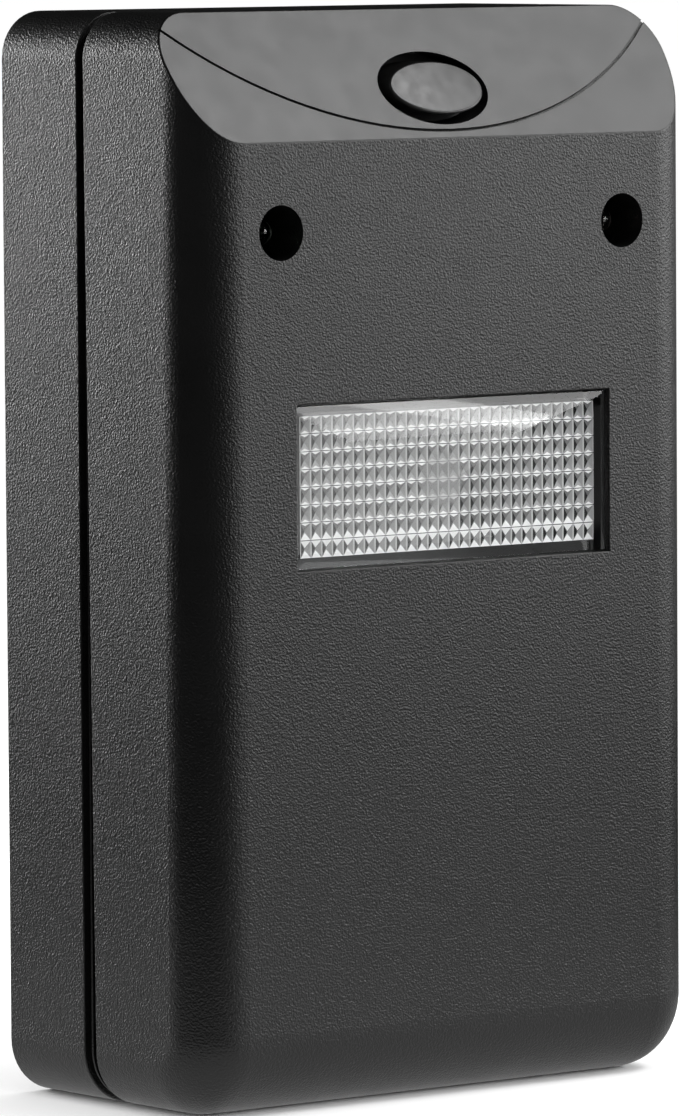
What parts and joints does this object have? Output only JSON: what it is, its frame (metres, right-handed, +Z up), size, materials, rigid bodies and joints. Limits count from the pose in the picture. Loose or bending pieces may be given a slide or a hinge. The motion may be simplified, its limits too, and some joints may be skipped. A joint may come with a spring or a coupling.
{
  "type": "ultrasonic pest repeller",
  "caption": "Plug-in ultrasonic pest repeller: two-part black case, flat blades, push button, indicator lights and a night-light window.",
  "frame": {"origin": "middle of the plug on the flat back face of the case, between the two blades", "axes": "+X to the right seen from the front, +Y towards the wall along the blades, +Z up"},
  "size_m": [0.0706, 0.0526, 0.12],
  "materials": {
    "case_plastic": "fine pebbled grain, satin",
    "button_plastic": "smooth satin",
    "clear_plastic": "clear, polished front with moulded pyramids behind",
    "tray_plastic": "matt white",
    "lamp_epoxy": "water clear epoxy",
    "green_epoxy": "tinted epoxy",
    "red_epoxy": "tinted epoxy",
    "tinned_wire": "tinned",
    "spacer_nylon": "matt",
    "switch_plastic": "matt",
    "plunger_plastic": "matt",
    "spring_steel": "drawn wire",
    "board_laminate": "paper laminate with a green mask",
    "blade_brass": "nickel plated",
    "holder_plastic": "matt",
    "line_insulation": "satin",
    "neutral_insulation": "satin",
    "can_aluminium": "drawn",
    "film_box": "moulded",
    "can_sleeve": "shrink sleeve",
    "ferrite": "sintered",
    "enamelled_copper": "enamelled",
    "chip_epoxy": "moulded epoxy",
    "resistor_coat": "lacquered",
    "screw_steel": "zinc plated"
  },
  "bodies": {
    "housing": {"front_cover": "case_plastic", "rear_cover": "case_plastic", "window_lens": "clear_plastic", "light_tray": "tray_plastic", "night_lamp": "lamp_epoxy", "night_lamp_leads": "tinned_wire", "green_indicator": "green_epoxy", "red_indicator": "red_epoxy", "indicator_leads": "tinned_wire", "indicator_spacers": "spacer_nylon", "switch_body": "switch_plastic", "switch_cover": "screw_steel", "switch_spring": "spring_steel", "switch_pins": "tinned_wire", "circuit_board": "board_laminate", "line_blade": "blade_brass", "neutral_blade": "blade_brass", "blade_holder": "holder_plastic", "line_lead": "line_insulation", "neutral_lead": "neutral_insulation", "transducer_can": "can_aluminium", "transducer_base": "chip_epoxy", "transducer_cone": "can_aluminium", "transducer_pins": "tinned_wire", "transducer_lead_left": "line_insulation", "transducer_lead_right": "neutral_insulation", "film_capacitor": "film_box", "smoothing_capacitor": "can_sleeve", "timing_capacitor": "can_sleeve", "coil_core": "ferrite", "coil_winding": "enamelled_copper", "control_chip": "chip_epoxy", "bridge_rectifier": "chip_epoxy", "fuse": "chip_epoxy", "resistors": "resistor_coat", "diodes": "chip_epoxy", "case_screws": "screw_steel", "board_screws": "screw_steel"},
    "button": {"button_cap": "button_plastic", "switch_plunger": "plunger_plastic"}
  },
  "joints": [
    {"name": "button_press", "type": "slide", "parent": "housing", "child": "button", "axis": [0, 1, 0], "range_m": [0, 0.0012], "stiffness_N_per_m": 900, "springref_m": -0.001, "deforming": ["switch_spring"]}
  ]
}
